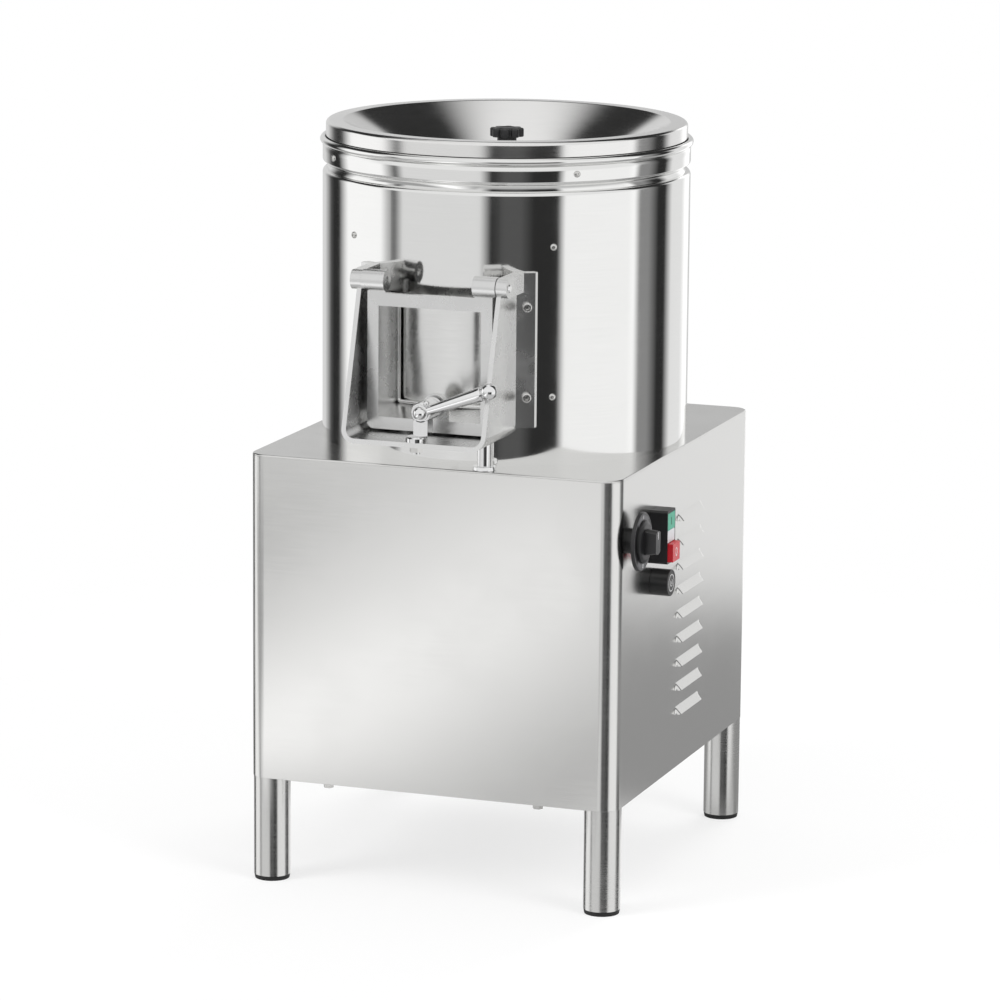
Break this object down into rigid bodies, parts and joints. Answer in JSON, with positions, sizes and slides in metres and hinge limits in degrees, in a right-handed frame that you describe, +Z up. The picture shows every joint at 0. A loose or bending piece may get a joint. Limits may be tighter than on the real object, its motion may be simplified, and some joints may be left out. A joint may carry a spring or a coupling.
{
  "type": "electric potato peeler",
  "caption": "Floor-standing drum potato peeler with a steel cabinet on four legs, a polished drum, a discharge chute with a latched door, and side controls",
  "frame": {"origin": "On the floor plane, in the middle of the four feet and under the middle of the cabinet", "axes": "+Z up, +X towards the side with the controls, -Y towards the discharge door, so the drain and the supply cable leave at +Y"},
  "size_m": [0.4512, 0.572, 0.8175],
  "materials": {
    "satin_steel": "satin brushed stainless sheet",
    "polished_steel": "finely polished stainless sheet",
    "cast_aluminium": "bead-blasted casting with polished edges",
    "chrome": "bright plated or turned steel",
    "machined_steel": "plain turned steel",
    "zinc_fastener": "bright stainless fasteners",
    "brass": "turned brass",
    "black_rubber": "soft black rubber",
    "black_plastic": "fine-grained black plastic",
    "grey_plastic": "grey plastic",
    "green_plastic": "green button plastic",
    "red_plastic": "red button plastic",
    "white_plastic": "milky lens plastic",
    "grit": "coarse abrasive grit bonded to its carrier",
    "motor_paint": "blue-grey motor enamel"
  },
  "bodies": {
    "frame": {"cabinet_shell": "satin_steel", "cabinet_deck": "satin_steel", "back_panel": "satin_steel", "base_plate": "satin_steel", "leg_front_left": "satin_steel", "leg_front_right": "satin_steel", "leg_rear_left": "satin_steel", "leg_rear_right": "satin_steel", "feet": "black_plastic", "leg_nuts": "zinc_fastener", "base_screws": "zinc_fastener", "back_panel_screws": "zinc_fastener", "drum_wall": "polished_steel", "drum_floor": "satin_steel", "grit_liner": "grit", "liner_screws": "zinc_fastener", "collar": "polished_steel", "collar_screws": "zinc_fastener", "hopper_seal": "black_rubber", "hopper": "polished_steel", "drain_pipe": "satin_steel", "water_inlet": "brass", "cable_gland": "black_plastic", "chute_frame": "cast_aluminium", "chute_screws": "zinc_fastener", "hinge_pins": "zinc_fastener", "striker": "chrome", "striker_nut": "zinc_fastener", "chute_post": "chrome", "control_box": "grey_plastic", "switch_plate": "black_plastic", "button_block": "black_plastic", "signal_lens": "white_plastic", "round_bezel": "black_plastic", "motor": "motor_paint", "motor_bracket": "satin_steel", "drive_belt": "black_rubber", "bearing_housing": "machined_steel", "bearings": "machined_steel", "shaft_seal": "black_rubber", "housing_screws": "zinc_fastener"},
    "lid": {"inner_lid": "polished_steel", "lid_stud": "chrome", "star_knob": "black_plastic"},
    "door": {"door": "cast_aluminium", "door_plate": "polished_steel", "door_seal": "black_rubber", "latch_bolt": "zinc_fastener", "latch_cap_nut": "chrome"},
    "lever": {"clamp_lever": "chrome"},
    "spindle": {"main_shaft": "machined_steel", "drum_pulley": "machined_steel", "peeling_disc": "grit", "disc_nut": "chrome"},
    "rotor": {"motor_shaft": "machined_steel", "motor_pulley": "machined_steel"},
    "switch": {"rotary_knob": "black_plastic"},
    "start": {"start_button": "green_plastic"},
    "stop": {"stop_button": "red_plastic"},
    "reset": {"round_button": "black_plastic"}
  },
  "joints": [
    {"name": "door_hinge", "type": "hinge", "parent": "frame", "child": "door", "pos_m": [0.002, -0.24, 0.671], "axis": [-1, 0, 0], "range_deg": [0, 95]},
    {"name": "lever_turn", "type": "hinge", "parent": "door", "child": "lever", "pos_m": [0.0085, -0.28, 0.5415], "axis": [0, -1, 0], "range_deg": [0, 100]},
    {"name": "lid_lift", "type": "slide", "parent": "frame", "child": "lid", "axis": [0, 0, 1], "range_m": [0, 0.15]},
    {"name": "spindle_spin", "type": "hinge", "parent": "frame", "child": "spindle", "pos_m": [0.002, -0.0085, 0.5], "axis": [0, 0, 1], "continuous": true},
    {"name": "motor_spin", "type": "hinge", "parent": "frame", "child": "rotor", "pos_m": [-0.112, 0.1275, 0.35], "axis": [0, 0, 1], "continuous": true},
    {"name": "switch_turn", "type": "hinge", "parent": "frame", "child": "switch", "pos_m": [0.22, -0.193, 0.403], "axis": [1, 0, 0], "range_deg": [0, 90]},
    {"name": "start_press", "type": "slide", "parent": "frame", "child": "start", "axis": [-1, 0, 0], "range_m": [0, 0.003], "stiffness_N_per_m": 500, "springref_m": -0.002},
    {"name": "stop_press", "type": "slide", "parent": "frame", "child": "stop", "axis": [-1, 0, 0], "range_m": [0, 0.004], "stiffness_N_per_m": 500, "springref_m": -0.002},
    {"name": "reset_press", "type": "slide", "parent": "frame", "child": "reset", "axis": [-1, 0, 0], "range_m": [0, 0.003], "stiffness_N_per_m": 500, "springref_m": -0.002}
  ],
  "couplings": [
    {"joint": "motor_spin", "follows": "spindle_spin", "ratio": 3.2355}
  ]
}
